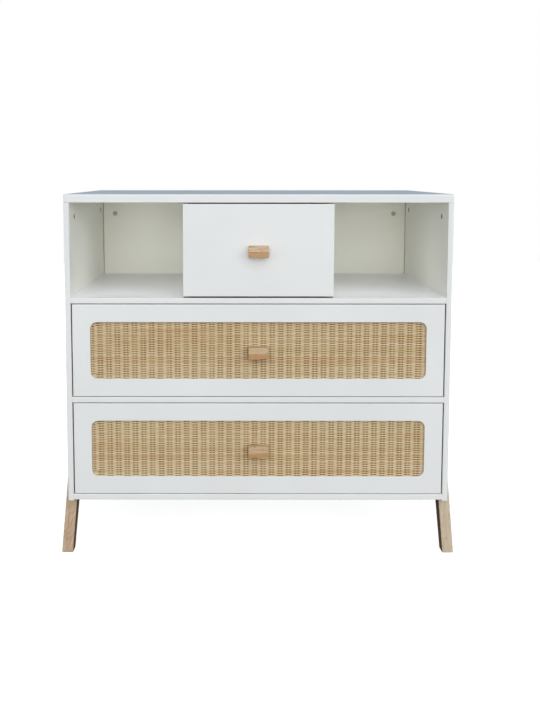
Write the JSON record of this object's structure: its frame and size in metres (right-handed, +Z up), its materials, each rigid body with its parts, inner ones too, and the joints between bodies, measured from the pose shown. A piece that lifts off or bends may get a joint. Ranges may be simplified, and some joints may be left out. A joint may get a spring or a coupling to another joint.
{
  "type": "changing dresser",
  "caption": "White lacquered changing dresser with open niches, sliding drawers with woven rattan windows, faceted wooden knobs and splayed wooden legs.",
  "frame": {"origin": "on the floor, under the middle of the whole object's box, knobs included", "axes": "+X to the right as seen from the front, +Y from the drawer fronts to the back, +Z up"},
  "size_m": [1.0456, 0.508, 0.958],
  "materials": {
    "white_lacquer": "satin white lacquer on fibreboard",
    "ash_wood": "clear matt varnish on solid wood",
    "woven_rattan": "natural woven rattan, unvarnished",
    "beech_dowel": "raw fluted beech",
    "white_hardboard": "white faced hardboard",
    "zinc_plated_steel": "zinc plated",
    "zinc_casting": "die-cast zinc, unpolished"
  },
  "bodies": {
    "carcass": {"top_panel": "white_lacquer", "left_side_panel": "white_lacquer", "right_side_panel": "white_lacquer", "niche_shelf": "white_lacquer", "middle_rail": "white_lacquer", "bottom_panel": "white_lacquer", "upper_back_panel": "white_lacquer", "lower_back_panel": "white_hardboard", "left_partition": "white_lacquer", "right_partition": "white_lacquer", "front_left_leg": "ash_wood", "front_right_leg": "ash_wood", "rear_left_leg": "ash_wood", "rear_right_leg": "ash_wood", "cam_locks": "zinc_casting", "cam_bolts": "zinc_plated_steel", "carcass_dowels": "beech_dowel", "back_panel_screws": "zinc_plated_steel", "runner_screws": "zinc_plated_steel", "upper_cabinet_runners": "zinc_plated_steel", "middle_cabinet_runners": "zinc_plated_steel", "lower_cabinet_runners": "zinc_plated_steel"},
    "upper_drawer": {"upper_drawer_back": "white_lacquer", "upper_drawer_bottom": "white_hardboard", "upper_drawer_dowels": "beech_dowel", "upper_drawer_front": "white_lacquer", "upper_drawer_knob": "ash_wood", "upper_drawer_knob_screw": "zinc_plated_steel", "upper_drawer_left_side": "white_lacquer", "upper_drawer_right_side": "white_lacquer", "upper_drawer_runner_screws": "zinc_plated_steel", "upper_drawer_runners": "zinc_plated_steel"},
    "upper_ball_cages": {"upper_ball_cages": "zinc_plated_steel"},
    "middle_drawer": {"middle_drawer_back": "white_lacquer", "middle_drawer_backing": "white_hardboard", "middle_drawer_bottom": "white_hardboard", "middle_drawer_dowels": "beech_dowel", "middle_drawer_front": "white_lacquer", "middle_drawer_knob": "ash_wood", "middle_drawer_knob_screw": "zinc_plated_steel", "middle_drawer_left_side": "white_lacquer", "middle_drawer_rattan": "woven_rattan", "middle_drawer_right_side": "white_lacquer", "middle_drawer_runner_screws": "zinc_plated_steel", "middle_drawer_runners": "zinc_plated_steel"},
    "middle_ball_cages": {"middle_ball_cages": "zinc_plated_steel"},
    "lower_drawer": {"lower_drawer_back": "white_lacquer", "lower_drawer_backing": "white_hardboard", "lower_drawer_bottom": "white_hardboard", "lower_drawer_dowels": "beech_dowel", "lower_drawer_front": "white_lacquer", "lower_drawer_knob": "ash_wood", "lower_drawer_knob_screw": "zinc_plated_steel", "lower_drawer_left_side": "white_lacquer", "lower_drawer_rattan": "woven_rattan", "lower_drawer_right_side": "white_lacquer", "lower_drawer_runner_screws": "zinc_plated_steel", "lower_drawer_runners": "zinc_plated_steel"},
    "lower_ball_cages": {"lower_ball_cages": "zinc_plated_steel"}
  },
  "joints": [
    {"name": "upper_drawer_slide", "type": "slide", "parent": "carcass", "child": "upper_drawer", "axis": [0, -1, 0], "range_m": [0, 0.29]},
    {"name": "upper_cage_roll", "type": "slide", "parent": "carcass", "child": "upper_ball_cages", "axis": [0, -1, 0], "range_m": [0, 0.145]},
    {"name": "middle_drawer_slide", "type": "slide", "parent": "carcass", "child": "middle_drawer", "axis": [0, -1, 0], "range_m": [0, 0.29]},
    {"name": "middle_cage_roll", "type": "slide", "parent": "carcass", "child": "middle_ball_cages", "axis": [0, -1, 0], "range_m": [0, 0.145]},
    {"name": "lower_drawer_slide", "type": "slide", "parent": "carcass", "child": "lower_drawer", "axis": [0, -1, 0], "range_m": [0, 0.29]},
    {"name": "lower_cage_roll", "type": "slide", "parent": "carcass", "child": "lower_ball_cages", "axis": [0, -1, 0], "range_m": [0, 0.145]}
  ],
  "couplings": [
    {"joint": "upper_cage_roll", "follows": "upper_drawer_slide", "ratio": 0.5},
    {"joint": "middle_cage_roll", "follows": "middle_drawer_slide", "ratio": 0.5},
    {"joint": "lower_cage_roll", "follows": "lower_drawer_slide", "ratio": 0.5}
  ]
}
